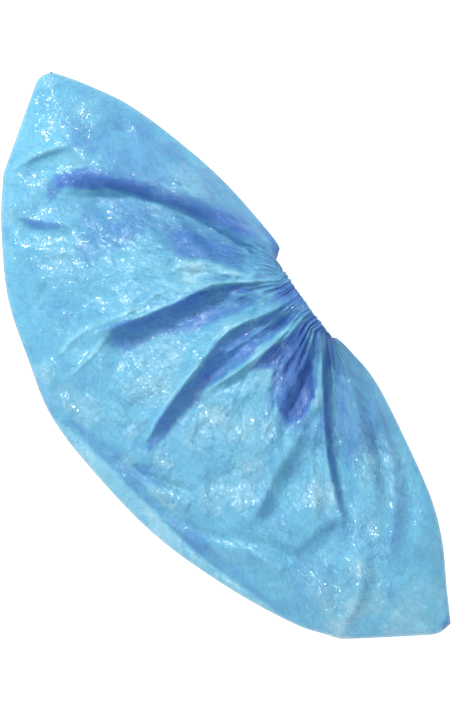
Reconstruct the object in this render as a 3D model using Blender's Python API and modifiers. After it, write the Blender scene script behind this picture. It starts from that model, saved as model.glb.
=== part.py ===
"""A disposable shoe cover: a film bag whose mouth is gathered by an elastic loop.

It lies on its back wall. X runs from the toe tip to the heel tip, Y towards the
mouth and Z up. Sizes are in millimetres up to the point where a mesh is made.
"""

import math
from collections import namedtuple

import bmesh
import bpy
import numpy as np

MM = 0.001

# Film bag
WALL = 1.0
TURN_RADIUS = 2.2
BODY_HEIGHT = 19.0
PUFF_REACH = 24.0
MOUTH_PUFF = 16.0
MOUTH_PUFF_REACH = 70.0
LEAST_HOLLOW = 9.0
SEAM_PULL = 6
BACK_LIFT = 0.5

# Gathered mouth, an oval ring that faces along Y
MOUTH_X = -4.5
MOUTH_HALF_WIDTH = 22.5
MOUTH_HALF_HEIGHT = 13.5
MOUTH_BLEND = 0.30
HEM_TOP_Y = 36.5
HEM_DEPTH = 6.5
HEM_BENDS = 4
SCALLOP = 0.5
SCALLOP_DEPTH = 3.0
RUFFLES = 32
RUFFLE_HEIGHT = 0.6
INNER_RUFFLE = 0.4
GATHER_HEIGHT = 2.4
GATHER_START = 0.12
GATHER_END = 0.65

# Elastic loop inside the hem
ELASTIC_DIAMETER = 1.6
ELASTIC_GAP = 0.3
ELASTIC_DROP = 2.7
ELASTIC_POINTS = 64

# Film points across the ruffles, along the sole fold near a tip, and from mouth to sole fold
COLUMNS_PER_RUFFLE = 4
TIP_SHARES = (0.0, 0.002, 0.006, 0.018)
MIDDLE_CROWDING = 0.045
ROWS = (0.0, 0.035, 0.075, 0.12, 0.18, 0.25, 0.33, 0.42, 0.52, 0.63, 0.74, 0.85, 0.93, 0.982, 0.994, 1.0)

# Middle of the finished cover's box in the coordinates of the tables below
BOX_MIDDLE_X = -0.83
BOX_MIDDLE_Y = -28.03

Station = namedtuple("Station", "x y")
TOE_SEAM = (
    Station(-27.0, 30.0),
    Station(-28.9, 32.0),
    Station(-29.6, 36.0),
    Station(-32.0, 39.8),
    Station(-37.0, 41.5),
    Station(-70.0, 38.8),
    Station(-100.0, 32.4),
    Station(-130.0, 22.9),
    Station(-150.0, 12.4),
    Station(-165.5, 0.5),
)
HEEL_SEAM = (
    Station(18.0, 30.0),
    Station(19.9, 32.0),
    Station(20.5, 35.2),
    Station(23.0, 38.0),
    Station(30.0, 39.6),
    Station(49.0, 40.9),
    Station(80.0, 36.1),
    Station(110.0, 29.7),
    Station(130.0, 21.5),
    Station(150.0, 9.8),
    Station(164.5, 0.5),
)
SOLE_FOLD = (
    Station(-165.5, 0.5),
    Station(-167.2, -5.5),
    Station(-161.0, -17.5),
    Station(-139.5, -47.0),
    Station(-120.0, -62.5),
    Station(-90.0, -80.3),
    Station(-60.0, -89.9),
    Station(-29.0, -97.2),
    Station(10.0, -95.6),
    Station(50.0, -89.0),
    Station(90.0, -75.1),
    Station(120.0, -60.8),
    Station(138.5, -47.0),
    Station(159.5, -17.5),
    Station(165.4, -6.0),
    Station(164.5, 0.5),
)

# The crest of a fold runs through four points, away from the mouth. Across it, from the
# toe's side to the heel's, the film climbs by crest over lead, drops by crest and dip
# over steep, and comes back to level over back.
Fold = namedtuple("Fold", "name x0 y0 x1 y1 x2 y2 x3 y3 lead crest steep dip back")
FRONT_FOLDS = (
    Fold("toe_pleat", -34, 38, -64, 26, -94, 6, -120, -22, 22, 7.0, 11, 6.0, 22),
    Fold("toe_corner", -104, -6, -126, -12, -135, -26, -139, -42, 12, 2.0, 6, 2.0, 12),
    Fold("toe_streak", -96, -30, -104, -41, -112, -49, -122, -56, 9, 2.0, 6, 2.0, 10),
    Fold("long_ridge", -20, 26, -36, 3, -42, -26, -50, -62, 18, 8.0, 13, 8.0, 12),
    Fold("middle_ridge", -8, 24, -12, 0, -8, -28, 5, -62, 10, 5.0, 10, 6.5, 8),
    Fold("mouth_rib", 3, 30, 5, 8, 5, -10, 3, -34, 5, 3.5, 6, 1.5, 9),
    Fold("heel_patch", 12, 26, 24, 8, 32, -2, 42, -8, 8, 1.5, 8, 3.0, 12),
    Fold("heel_crease", 11, 33, 38, 15, 66, -3, 98, -14, 10, 4.5, 8, 5.0, 8),
    Fold("heel_band", 38, 33, 62, 23, 84, 14, 108, 2, 8, 3.5, 8, 4.0, 9),
    Fold("heel_top", 34, 37, 68, 29, 100, 12, 128, -14, 7, 2.5, 6, 2.5, 8),
    Fold("side_ridge", 45, 2, 53, -16, 62, -34, 72, -50, 18, 4.5, 14, 5.0, 16),
    Fold("side_band", 92, 2, 90, -14, 90, -30, 92, -46, 10, 3.0, 8, 3.0, 12),
    Fold("sole_vee", 42, -60, 30, -68, 20, -74, 8, -80, 9, -1.0, 6, -3.0, 9),
    Fold("sole_crease", -24, -91, 24, -84, 66, -77, 112, -63, 7, -1.5, 5, 2.0, 7),
)
BACK_FOLDS = (
    Fold("back_toe_pleat", -24, 28, -52, 20, -84, 4, -108, -22, 12, 4.0, 9, 0.0, 1),
    Fold("back_long_ridge", -14, 24, -26, 2, -34, -26, -40, -52, 12, 4.5, 10, 0.0, 1),
    Fold("back_rib", 4, 24, 8, 4, 12, -16, 14, -34, 8, 3.5, 7, 0.0, 1),
    Fold("back_heel_crease", 14, 28, 42, 18, 70, 2, 96, -18, 11, 4.0, 9, 0.0, 1),
)
FOLD_FADE_IN = 0.12
FOLD_FADE_OUT = 0.25
FOLD_EDGE = 14.0

MOUTH_Z = MOUTH_HALF_HEIGHT + RUFFLE_HEIGHT + 0.1
HEM_LINE_Y = HEM_TOP_Y - HEM_DEPTH
HEM_THICKNESS = 2 * WALL + ELASTIC_DIAMETER + 2 * ELASTIC_GAP
COLUMNS = RUFFLES * COLUMNS_PER_RUFFLE
HALF = COLUMNS // 2


def ease(value):
    """A smooth step from 0 to 1 as the value goes from 0 to 1."""
    value = np.clip(value, 0.0, 1.0)
    return value * value * (3 - 2 * value)


def curve_points(stations, steps=8):
    """Points of a smooth curve through the stations."""
    stations = np.array(stations, float)
    ends = np.concatenate([stations[:1], stations, stations[-1:]])
    t = np.arange(steps)[:, None] / steps
    points = [
        0.5 * (2 * b + (c - a) * t + (2 * a - 5 * b + 4 * c - d) * t**2 + (3 * b - a - 3 * c + d) * t**3)
        for a, b, c, d in zip(ends, ends[1:], ends[2:], ends[3:])
    ]
    return np.concatenate([*points, stations[-1:]])


class Route:
    """A line of points that can be read at any share of its length."""

    def __init__(self, points):
        self.points = points
        steps = np.linalg.norm(np.diff(points, axis=0), axis=1)
        self.reach = np.concatenate([[0.0], np.cumsum(steps)])

    def at(self, share):
        goal = np.asarray(share) * self.reach[-1]
        return [np.interp(goal, self.reach, values) for values in self.points.T]

    def nearest(self, x, y):
        """Distance, distance to the line's left and share of its length, of the nearest place."""
        away = np.full(np.shape(x), np.inf)
        left = np.zeros(np.shape(x))
        share = np.zeros(np.shape(x))
        for start, end, reach in zip(self.points, self.points[1:], self.reach):
            run = end - start
            size = math.hypot(*run)
            if not size:
                continue
            over_x, over_y = x - start[0], y - start[1]
            t = np.clip((over_x * run[0] + over_y * run[1]) / size**2, 0, 1)
            here = np.hypot(over_x - t * run[0], over_y - t * run[1])
            side = np.where(run[0] * over_y - run[1] * over_x < 0, -here, here)
            nearer = here < away
            away = np.where(nearer, here, away)
            left = np.where(nearer, side, left)
            share = np.where(nearer, (reach + t * size) / self.reach[-1], share)
        return away, left, share


toe_seam = Route(curve_points(TOE_SEAM))
heel_seam = Route(curve_points(HEEL_SEAM))
sole_fold = Route(curve_points(SOLE_FOLD))
outline = Route(np.concatenate([toe_seam.points, sole_fold.points, heel_seam.points[::-1]]))


def mouth_oval():
    """The mouth's oval in X and Z, from its toe end over the top and back underneath."""
    turn = np.linspace(0, math.tau, 241)
    x = MOUTH_X - MOUTH_HALF_WIDTH * np.cos(turn)
    z = MOUTH_Z + MOUTH_HALF_HEIGHT * np.sin(turn)
    return Route(np.stack([x, z], axis=1))


mouth = mouth_oval()


def mouth_place(share):
    """Place on the mouth's oval, and its outward direction there."""
    x, z = mouth.at(share)
    across = (x - MOUTH_X) / MOUTH_HALF_WIDTH**2
    up = (z - MOUTH_Z) / MOUTH_HALF_HEIGHT**2
    size = np.hypot(across, up)
    return x, z, across / size, up / size


def folds_height(folds, x, y):
    """Height that the folds add to a wall."""
    total = np.zeros(np.shape(x))
    for fold in folds:
        route = Route(curve_points([fold[1:3], fold[3:5], fold[5:7], fold[7:9]]))
        _, offset, share = route.nearest(x, y)
        climb = fold.crest * ease(1 + offset / fold.lead) ** 1.5
        drop = fold.crest - (fold.crest + fold.dip) * ease(offset / fold.steep)
        level = -fold.dip * ease(1 - (offset - fold.steep) / fold.back)
        height = np.where(offset < 0, climb, np.where(offset < fold.steep, drop, level))
        total += height * ease(share / FOLD_FADE_IN) * ease((1 - share) / FOLD_FADE_OUT)
    return total


def front_wall(x, y, edge):
    """Height of the front wall's outer skin over the floor."""
    turn = TURN_RADIUS * np.sqrt(1 - (1 - np.clip(edge / TURN_RADIUS, 0, 1)) ** 2)
    inside = 1 - np.exp(-edge / PUFF_REACH)
    from_mouth = np.hypot(x - MOUTH_X, y - HEM_LINE_Y)
    crown = BODY_HEIGHT + MOUTH_PUFF * np.exp(-((from_mouth / MOUTH_PUFF_REACH) ** 2))
    height = (crown - 2 * TURN_RADIUS) * inside + folds_height(FRONT_FOLDS, x, y) * ease(edge / FOLD_EDGE)
    return TURN_RADIUS + turn + np.maximum(height, LEAST_HOLLOW * inside)


def back_wall(x, y, edge):
    """Height of the back wall's outer skin, which is flat on the floor between its folds."""
    turn = TURN_RADIUS * np.sqrt(1 - (1 - np.clip(edge / TURN_RADIUS, 0, 1)) ** 2)
    folds = np.maximum(folds_height(BACK_FOLDS, x, y), 0) * ease(edge / FOLD_EDGE)
    return TURN_RADIUS - turn + folds


def ruffle_wave(column):
    """A pucker for each ruffle, from 0 to 1, uneven from one to the next."""
    place = math.tau * column / COLUMNS
    uneven = 0.75 + 0.25 * np.sin(5 * place + 1) * np.cos(3 * place)
    return (0.5 + 0.5 * np.cos(place * RUFFLES)) * uneven


def sole_shares():
    """Shares of the sole fold where the columns end, closer together at both tips and midway."""
    inner = np.linspace(0, 1, HALF - 2 * len(TIP_SHARES) + 3)
    inner = inner + MIDDLE_CROWDING * np.sin(math.tau * inner)
    tip = np.array(TIP_SHARES)
    return np.concatenate([tip[:-1], tip[-1] + (1 - 2 * tip[-1]) * inner, 1 - tip[-2::-1]])


def hem_rings():
    """Rings of the folded hem, from its loose edge inside the mouth over its top."""
    radius = HEM_THICKNESS / 2
    bends = [(radius * (1 + math.cos(a)), radius * (1 - math.sin(a)), -math.cos(a))
             for a in (math.pi * step / HEM_BENDS for step in range(HEM_BENDS + 1))]
    column = np.arange(COLUMNS)
    x, z, out_x, out_z = mouth_place(column / COLUMNS)
    wave = ruffle_wave(column)
    rings = []
    for inward, down, ruffle in [(HEM_THICKNESS, HEM_DEPTH, -1.0), *bends]:
        out = max(ruffle, INNER_RUFFLE * ruffle) * RUFFLE_HEIGHT * wave - inward
        scallop = SCALLOP * (1 - wave) * max(0, 1 - down / SCALLOP_DEPTH)
        y = HEM_TOP_Y - down - scallop
        rings.append(np.stack([x + out_x * out, y, z + out_z * out], axis=1))
    return rings


def wall_rings():
    """Rings of the two walls, from the hem's line to the sole fold."""
    column = np.arange(COLUMNS)
    front = column <= HALF
    x0, z0, out_x, out_z = mouth_place(column / COLUMNS)
    share = sole_shares()[np.where(front, column, COLUMNS - column)]
    wave = ruffle_wave(column)
    end = sole_fold.at(share)
    rings = []
    for row in ROWS:
        x, y = (start + (stop - start) * row for start, stop in zip((x0, HEM_LINE_Y), end))
        for seam, weight in ((toe_seam, (1 - share) ** SEAM_PULL), (heel_seam, share**SEAM_PULL)):
            straight = seam.points[0] + (seam.points[-1] - seam.points[0]) * row
            bulge = seam.at(row) - straight
            x, y = x + weight * bulge[0], y + weight * bulge[1]
        edge = outline.nearest(x, y)[0]
        bag = np.where(front, front_wall(x, y, edge), back_wall(x, y, edge))
        blend = ease(row / MOUTH_BLEND)
        away = ease(row / GATHER_START)
        height = RUFFLE_HEIGHT * (1 - away) + GATHER_HEIGHT * away * ease(edge / FOLD_EDGE)
        lift = wave * height * ease(1 - row / GATHER_END) * np.where(front, 1, BACK_LIFT)
        x = x + out_x * lift * (1 - blend)
        z = z0 + (bag - z0) * blend + lift * (out_z * (1 - blend) + blend)
        rings.append(np.stack([x, y, np.maximum(z, 0)], axis=1))
    return rings


def to_metres(point):
    return (point[0] - BOX_MIDDLE_X) * MM, (point[1] - BOX_MIDDLE_Y) * MM, point[2] * MM


def build_film():
    """The bag: one sheet from the hem's loose edge to the sole fold, given its wall inwards."""
    shape = bmesh.new()
    *rings, fold = [*hem_rings(), *wall_rings()]
    rows = [[shape.verts.new(to_metres(point)) for point in ring] for ring in rings]
    fold = [shape.verts.new(to_metres(point)) for point in fold[: HALF + 1]]
    rows.append(fold + fold[-2:0:-1])
    for upper, lower in zip(rows, rows[1:]):
        for column in range(COLUMNS):
            after = (column + 1) % COLUMNS
            corners = (upper[column], upper[after], lower[after], lower[column])
            shape.faces.new(dict.fromkeys(corners))
    bmesh.ops.recalc_face_normals(shape, faces=shape.faces)
    mesh = bpy.data.meshes.new("film_body")
    shape.to_mesh(mesh)
    shape.free()
    mesh.shade_smooth()
    film = bpy.data.objects.new("film_body", mesh)
    wall = film.modifiers.new("wall", "SOLIDIFY")
    wall.thickness = WALL * MM
    wall.offset = -1
    return film


def build_elastic():
    """The loop that gathers the hem, a round cord in the middle of the hem's channel."""
    curve = bpy.data.curves.new("elastic_band", "CURVE")
    curve.dimensions = "3D"
    curve.bevel_depth = ELASTIC_DIAMETER / 2 * MM
    curve.bevel_resolution = 2
    spline = curve.splines.new("POLY")
    spline.points.add(ELASTIC_POINTS - 1)
    x, z, out_x, out_z = mouth_place(np.arange(ELASTIC_POINTS) / ELASTIC_POINTS)
    inward = HEM_THICKNESS / 2
    for point, *place in zip(spline.points, x - out_x * inward, z - out_z * inward):
        point.co = (*to_metres((place[0], HEM_TOP_Y - ELASTIC_DROP, place[1])), 1)
    spline.use_cyclic_u = True
    return bpy.data.objects.new("elastic_band", curve)


def paint(piece, colour, roughness):
    material = bpy.data.materials.new(piece.name)
    material.use_nodes = True
    shader = material.node_tree.nodes["Principled BSDF"]
    shader.inputs["Base Color"].default_value = (*colour, 1)
    shader.inputs["Roughness"].default_value = roughness
    shader.inputs["Metallic"].default_value = 0
    piece.data.materials.append(material)


def main():
    for thing in list(bpy.data.objects):
        bpy.data.objects.remove(thing)
    collection = bpy.data.collections.new("shoe cover")
    bpy.context.scene.collection.children.link(collection)
    film = build_film()
    elastic = build_elastic()
    paint(film, (0.13, 0.50, 0.85), 0.25)
    paint(elastic, (0.85, 0.88, 0.90), 0.6)
    for piece in (film, elastic):
        collection.objects.link(piece)


main()
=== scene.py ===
"""Looks of the disposable shoe cover: crumpled blue film, a ruffled hem and its elastic.

Shapes are worked out in millimetres, in the coordinates of the tables, and become
metres in the frame's own place when a mesh is made.
"""

import math
from collections import namedtuple

import bmesh
import bpy
import numpy as np
from mathutils import Matrix, Vector
from mathutils.bvhtree import BVHTree


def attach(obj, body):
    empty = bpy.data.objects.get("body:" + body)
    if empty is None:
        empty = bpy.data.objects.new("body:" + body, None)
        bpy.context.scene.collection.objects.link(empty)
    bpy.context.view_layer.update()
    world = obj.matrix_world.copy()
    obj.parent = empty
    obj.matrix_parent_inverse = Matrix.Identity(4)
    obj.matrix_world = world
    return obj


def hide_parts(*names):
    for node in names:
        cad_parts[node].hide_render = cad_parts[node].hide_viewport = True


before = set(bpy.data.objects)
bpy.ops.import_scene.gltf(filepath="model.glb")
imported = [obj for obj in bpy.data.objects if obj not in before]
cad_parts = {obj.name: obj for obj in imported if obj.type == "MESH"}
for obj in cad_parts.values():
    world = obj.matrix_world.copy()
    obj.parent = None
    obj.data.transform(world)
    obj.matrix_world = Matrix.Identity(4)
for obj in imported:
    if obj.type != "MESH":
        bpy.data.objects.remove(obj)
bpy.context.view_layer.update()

MM = 0.001

# Film bag, with the puffed shape of the CAD film and a thinner wall
TURN_RADIUS = 1.6
BODY_HEIGHT = 19.0
PUFF_REACH = 24.0
MOUTH_PUFF = 14.0
MOUTH_PUFF_REACH = 70.0
LEAST_HOLLOW = 8.0
MOST_BACK_RISE = 0.6
SEAM_PULL = 6
SHOULDER_POINTS = 8
FILM = 0.08
FLAT_WIDTH = 410.0
FLAT_HEIGHT = 150.0

# Gathered mouth
MOUTH_X = -4.5
MOUTH_HALF_WIDTH = 22.5
MOUTH_HALF_HEIGHT = 13.5
MOUTH_Z = 14.2
MOUTH_BLEND = 0.24
HEM_TOP_Y = 36.5
HEM_DEPTH = 6.5
HEM_THICKNESS = 3.2

# The hem runs out towards both ends of the mouth, and it shows part of the folds' height
HEM_END = 6.0
HEM_END_SHARE = 0.85
HEM_FOLDS = 0.4

# Puckers of the hem: how many of each width go round the mouth, the share of their height at
# its two ends and how far that reaches, how far they stand out on the hem's outside and on
# its inside, and how deep they notch its top
WIDE_PUCKERS = 36
FINE_PUCKERS = 77
LEAST_PUCKER = 0.2
PUCKER_END_REACH = 0.02
PUCKER_OUTSIDE = 1.3
PUCKER_INSIDE = 0.35
PUCKER_NOTCH = 1.4
NOTCH_REACH = 3.5

# Shade in the puckers' valleys: where it is deepest, how far that reaches, and the share of
# it elsewhere
PUCKER_SHADE_X = -7.0
PUCKER_SHADE_REACH = 8.0
LEAST_PUCKER_SHADE = 0.25

# Section through the hem: how far inwards and how far below its top each ring lies
HEM_INSIDE_DOWN = (6.8, 5.2, 3.6, 2.4)
HEM_TURN_STEPS = 7
HEM_OUTSIDE = ((0.0, 2.6), (-0.1, 3.7), (0.0, 4.8), (0.0, 5.7))

# Film points: across the front wall, across the back wall, and from the mouth to the sole,
# and how unevenly they are spread
FINENESS = 3
BACK_COLUMNS = 115
FRONT_COLUMNS = FINENESS * BACK_COLUMNS
COLUMNS = FRONT_COLUMNS + BACK_COLUMNS
WALL_ROWS = 88
MIDWAY_CROWDING = 0.05
TIP_CROWDING = 0.010
TIP_DECAY = 30
ROW_CROWDING = 0.07
FRONT = np.arange(COLUMNS) <= FRONT_COLUMNS

# Middle of the cover's box in the coordinates of the tables below, and the least height over
# the floor
BOX_MIDDLE_X = -0.83
BOX_MIDDLE_Y = -28.03
LEAST_Z = 0.02

Station = namedtuple("Station", "x y")
TOE_SEAM = (
    Station(-27.0, 35.5),
    Station(-29.3, 38.8),
    Station(-35.5, 41.4),
    Station(-70.0, 38.8),
    Station(-100.0, 32.4),
    Station(-130.0, 22.9),
    Station(-150.0, 12.2),
    Station(-161.5, 4.6),
    Station(-165.8, 1.3),
)
HEEL_SEAM = (
    Station(18.0, 35.5),
    Station(20.2, 37.8),
    Station(29.0, 39.5),
    Station(49.0, 40.9),
    Station(80.0, 36.1),
    Station(110.0, 29.7),
    Station(130.0, 21.9),
    Station(150.0, 10.2),
    Station(161.5, 3.7),
    Station(165.2, 1.5),
)
SOLE_FOLD = (
    Station(-165.8, 1.3),
    Station(-166.7, -5.8),
    Station(-160.0, -16.3),
    Station(-142.5, -42.0),
    Station(-139.2, -46.6),
    Station(-134.0, -51.0),
    Station(-120.0, -61.9),
    Station(-90.0, -79.7),
    Station(-60.0, -89.4),
    Station(-29.0, -96.8),
    Station(10.0, -95.2),
    Station(50.0, -88.7),
    Station(90.0, -74.8),
    Station(120.0, -60.5),
    Station(134.0, -50.7),
    Station(139.0, -46.9),
    Station(142.6, -42.3),
    Station(160.0, -15.6),
    Station(165.4, -6.2),
    Station(165.2, 1.5),
)

# A fold's crest runs through four points, away from the mouth. Across it, from the toe's
# side to the heel's, the film climbs by crest over lead, drops by crest and dip over
# steep, and comes back to level over back. A bend under 1 makes the crest sharp and the
# foot soft, and a bend over 1 the other way round.
Fold = namedtuple("Fold", "name x0 y0 x1 y1 x2 y2 x3 y3 lead crest steep dip back bend")
FRONT_FOLDS = (
    Fold("toe_pleat", -34, 40, -70, 25, -99, 5, -123, -26, 24, 6.0, 10, 6.5, 24, 1.7),
    Fold("toe_corner", -118, -10, -131, -14, -136, -26, -139, -43, 13, 2.4, 5, 1.6, 12, 0.6),
    Fold("toe_streak", -98, -33, -106, -42, -112, -48, -120, -55, 7, 1.5, 6, 2.0, 8, 0.7),
    Fold("ridge_a", -13, 39, -28, 19, -44, 10, -53, -8, 9, 2.6, 5, 1.6, 7, 0.8),
    Fold("long_ridge", -22, 24, -35, 6, -40, -20, -51, -62, 18, 5.2, 10, 5.0, 18, 0.6),
    Fold("inner_ridge", -14, 21, -24, 12, -33, 5, -37, -8, 7, 2.2, 5, 1.0, 6, 0.7),
    Fold("middle_ridge", -5, 31, -13, 2, -9, -22, 8, -70, 12, 3.8, 8, 4.0, 9, 0.6),
    Fold("ridge_c", -6, 33, -13, 12, -18, -2, -20, -14, 6, 2.0, 6, 1.0, 6, 0.8),
    Fold("thin_rib", -4, 34, -4, 14, -5, 2, -5, -14, 3, 1.6, 3, 0.8, 4, 0.8),
    Fold("mouth_rib", 1, 38, 4, 14, 5, -6, 3, -32, 4, 3.2, 4, 2.4, 8, 0.7),
    Fold("heel_patch", 6, 29, 19, 14, 26, 2, 34, -14, 8, 1.0, 7, 2.6, 11, 1.5),
    Fold("heel_bow", 17, 20, 34, 15, 41, 4, 40, -8, 5, 1.2, 5, 1.6, 9, 1.4),
    Fold("heel_crease", 6, 38, 38, 16, 66, -1, 100, -14, 9, 3.6, 4, 4.4, 10, 0.6),
    Fold("heel_band", 38, 32, 60, 23, 82, 13, 104, 3, 8, 2.2, 6, 2.2, 8, 0.8),
    Fold("heel_top", 34, 38, 66, 32, 98, 17, 124, -6, 8, 2.0, 7, 2.0, 9, 0.8),
    Fold("highlight", 40, 1, 56, -4, 70, -13, 92, -25, 7, 2.2, 6, 1.2, 8, 0.8),
    Fold("side_ridge", 46, 0, 52, -16, 60, -33, 70, -50, 18, 3.0, 8, 2.6, 16, 0.6),
    Fold("side_band", 92, -6, 90, -18, 90, -32, 93, -44, 9, 1.4, 6, 1.4, 10, 0.7),
    Fold("heel_arc", 112, -16, 124, -23, 131, -34, 139, -48, 7, 1.8, 7, 1.0, 10, 0.8),
    Fold("sole_vee", 42, -62, 30, -69, 20, -75, 8, -80, 8, -0.8, 5, -2.4, 8, 1.0),
    Fold("sole_low", 96, -43, 76, -53, 58, -70, 36, -79, 8, -0.6, 5, -2.0, 8, 1.0),
    Fold("sole_crease", -24, -91, 24, -84, 66, -77, 112, -63, 7, -1.3, 4, 1.8, 7, 1.0),
)
BACK_FOLDS = (
    Fold("back_toe_pleat", -24, 28, -52, 20, -84, 4, -108, -22, 12, 4.0, 9, 0.0, 1, 1.0),
    Fold("back_long_ridge", -14, 24, -26, 2, -34, -26, -40, -52, 12, 4.5, 10, 0.0, 1, 1.0),
    Fold("back_rib", 4, 24, 8, 4, 12, -16, 14, -34, 8, 3.5, 7, 0.0, 1, 1.0),
    Fold("back_heel_crease", 14, 28, 42, 18, 70, 2, 96, -18, 11, 4.0, 9, 0.0, 1, 1.0),
)
FOLD_FADE_IN = 0.06
FOLD_FADE_OUT = 0.22

# Distance from the cover's edge where each kind of relief has its full height
FOLD_EDGE = 14.0
CREASE_EDGE = 4.0
CRUMPLE_EDGE = 7.0
PLEAT_EDGE = 6.0
BACK_PLEAT_EDGE = 9.0

# Share of the way to the sole fold where each kind has its full height, where the hem's
# puckers and their painted shade have run out, and where the edges of the painted darker parts are
# fully ragged. LEAST is the share of the height that is there from the mouth on.
FOLD_START = 0.16
FOLD_LEAST = 0.4
CRUMPLE_START = 0.2
CRUMPLE_LEAST = 0.3
BACK_PLEAT_START = 0.08
PUCKER_END = 0.14
PUCKER_SHADE_END = 0.10
RAGGED_START = 0.15

# Creases: thin ridges where height is positive, thin furrows where it is negative
CREASE_FADE_IN = 0.15
CREASE_FADE_OUT = 0.2
Crease = namedtuple("Crease", "x0 y0 x1 y1 x2 y2 width height")
CREASES = (
    Crease(-131, -14, -136, -26, -139, -44, 2.2, 1.3),
    Crease(-131, -12, -121, -10, -112, -9, 2.2, -0.7),
    Crease(-122, -19, -123, -14, -116, -9, 2.0, 0.9),
    Crease(-128, -24, -128, -18, -122, -17, 2.0, 0.8),
    Crease(-115, -35, -114, -40, -116, -46, 2.0, -0.7),
    Crease(-80, -12, -68, -13, -62, -8, 2.4, -0.9),
    Crease(-78, -25, -62, -20, -42, -12, 2.4, -1.0),
    Crease(-79, -3, -71, 2, -69, -2, 2.2, 0.8),
    Crease(-102, -59, -96, -56, -88, -56, 2.2, -0.8),
    Crease(-93, -58, -90, -50, -84, -44, 2.4, -0.6),
    Crease(-162, -6, -152, -9, -147, -21, 2.2, -0.6),
    Crease(-167, -4, -163, -1, -158, 2, 2.0, -0.6),
    Crease(-142, 6, -140, 2, -138, -3, 2.2, 0.9),
    Crease(-138, -5, -134, -3, -130, 1, 2.2, 0.9),
    Crease(-130, 18, -126, 16, -123, 14, 2.0, 0.7),
    Crease(-90, 18, -84, 20, -78, 20, 2.0, 0.8),
    Crease(-81, 26, -77, 25, -74, 21, 2.0, 0.8),
    Crease(-100, 30, -84, 35, -66, 37, 2.6, -0.7),
    Crease(-92, 30, -72, 34, -50, 36, 2.6, 0.8),
    Crease(-48, -16, -49, -38, -53, -54, 2.4, 1.3),
    Crease(-53, -54, -54, -64, -52, -76, 2.6, 1.1),
    Crease(-48, -48, -43, -60, -40, -78, 2.4, 1.3),
    Crease(-9, -20, -3, -44, 7, -66, 2.0, 1.2),
    Crease(-3, -57, -2, -66, -1, -78, 2.6, 0.9),
    Crease(12, 33, 24, 23, 37, 14, 2.4, 1.2),
    Crease(8, -5, 14, 2, 18, 6, 2.4, 1.0),
    Crease(26, -4, 31, -5, 38, -3, 2.2, -0.8),
    Crease(33, -12, 37, -18, 40, -20, 2.2, 1.1),
    Crease(40, -20, 46, -18, 51, -16, 2.2, 0.8),
    Crease(49, 6, 51, 2, 53, -1, 2.0, 1.0),
    Crease(54, 5, 62, 2, 68, -2, 2.0, 1.0),
    Crease(76, 17, 84, 20, 91, 18, 2.0, 0.8),
    Crease(96, -20, 96, -30, 97, -40, 2.0, 1.1),
    Crease(100, -20, 101, -30, 100, -38, 2.0, 0.8),
    Crease(111, -20, 111, -30, 110, -38, 2.0, -0.6),
    Crease(67, -43, 81, -45, 98, -42, 2.4, -0.9),
    Crease(95, -42, 82, -48, 73, -58, 2.2, -1.1),
    Crease(73, -58, 60, -69, 44, -78, 2.4, -1.0),
    Crease(24, -65, 18, -72, 12, -78, 2.2, -1.3),
    Crease(37, -64, 24, -74, 13, -80, 2.2, -1.3),
    Crease(6, -81, 22, -80, 37, -74, 2.4, 1.1),
    Crease(37, -65, 39, -70, 41, -76, 2.2, 0.9),
    Crease(-25, -77, -12, -79, 2, -81, 2.6, -0.8),
    Crease(-55, -85, -40, -86, -22, -88, 2.0, 0.8),
    Crease(-48, -89, -36, -88, -18, -90, 2.0, -0.7),
    Crease(40, -83, 78, -75, 112, -63, 2.4, -0.9),
    Crease(-160, -4, -156, -8, -157, -12, 2.0, 0.5),
)

# Facets of the crumpled film: how far apart its knots are, how high, and the seed
Crumple = namedtuple("Crumple", "spacing height seed")
CRUMPLES = (
    Crumple(30.0, 1.9, 11),
    Crumple(13.0, 1.2, 12),
    Crumple(7.0, 0.80, 13),
    Crumple(3.6, 0.40, 14),
)

# The two finest are this many times as high on the back wall
BACK_CRUMPLE = 2.8

# Crinkle: its value on the calm film, the most for the glints and for the facets' height,
# and how much painted light it adds to the film's colour where it glints
CALM = 0.46
MOST_CRINKLE = 1.6
MOST_CRUMPLED = 1.0
PAINTED_CRINKLE_LIGHT = 0.15
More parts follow.
